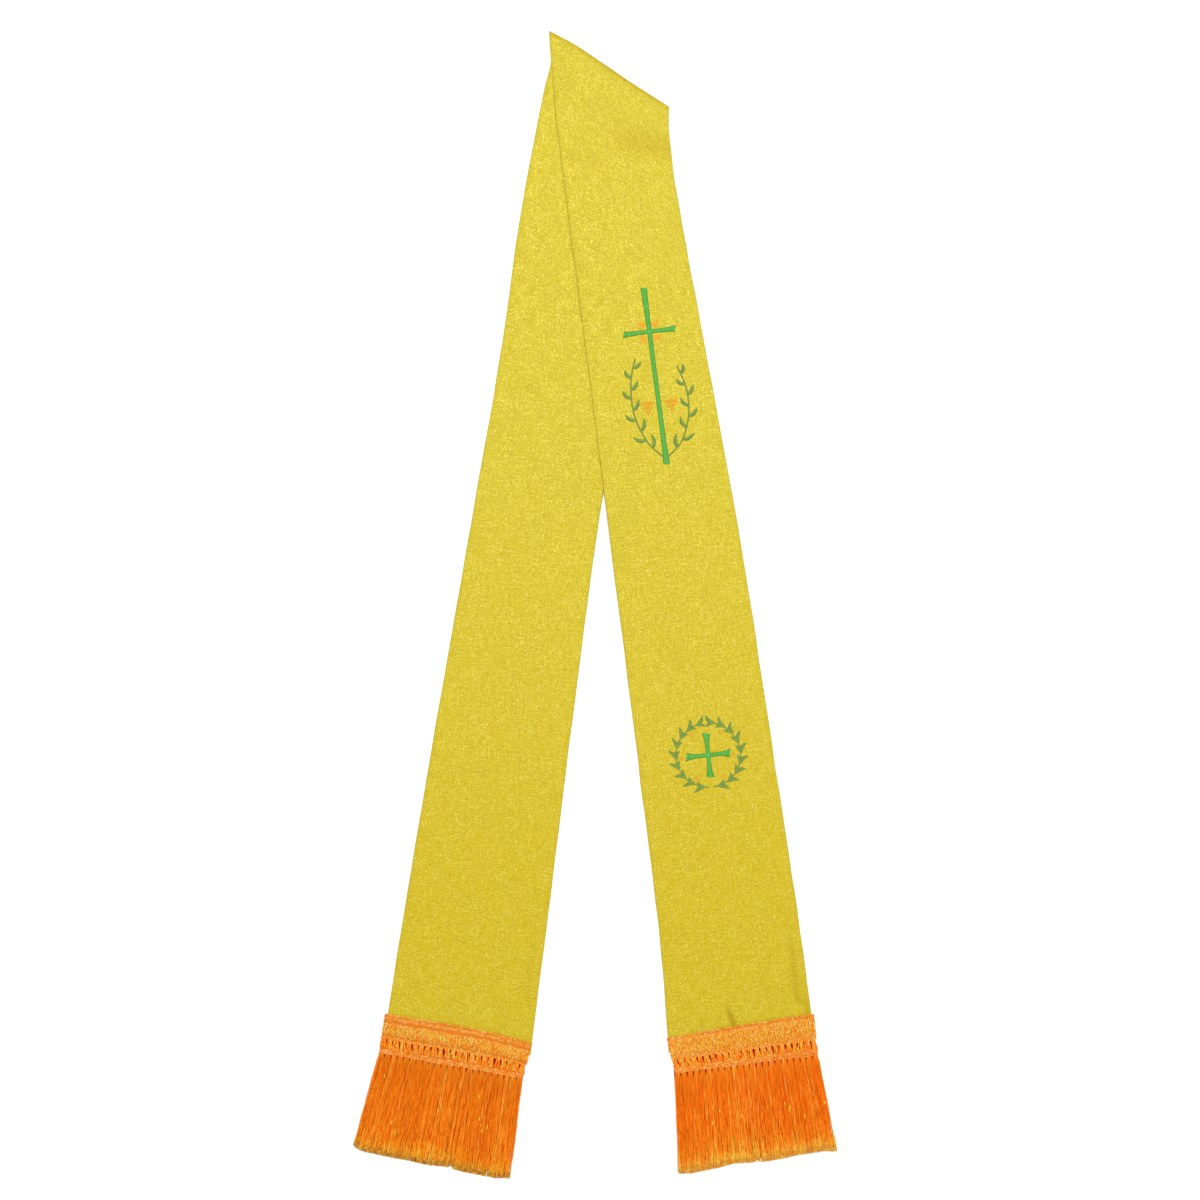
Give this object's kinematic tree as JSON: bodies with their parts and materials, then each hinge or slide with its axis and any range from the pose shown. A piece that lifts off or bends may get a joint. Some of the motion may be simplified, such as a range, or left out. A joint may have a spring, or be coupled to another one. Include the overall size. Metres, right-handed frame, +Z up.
{
  "type": "clerical stole",
  "caption": "Long fringed cloth stole, folded at its neck seam and laid flat, worn round the neck with its ends hanging in front.",
  "frame": {"origin": "middle of the laid stole's outline, on the table under it", "axes": "+X to the right and +Y towards the neck as it lies, +Z up from the table"},
  "size_m": [0.464, 1.1016, 0.0061],
  "materials": {
    "front_band": "gold brocade with a metallic thread",
    "back_band": "gold brocade with a metallic thread",
    "heading": "woven orange and gold braid",
    "fringe": "twisted rayon yarn"
  },
  "bodies": {
    "root": {"front_band": "front_band", "back_band": "back_band", "front_heading": "heading", "back_heading": "heading", "front_fringe": "fringe", "back_fringe": "fringe"}
  },
  "joints": []
}
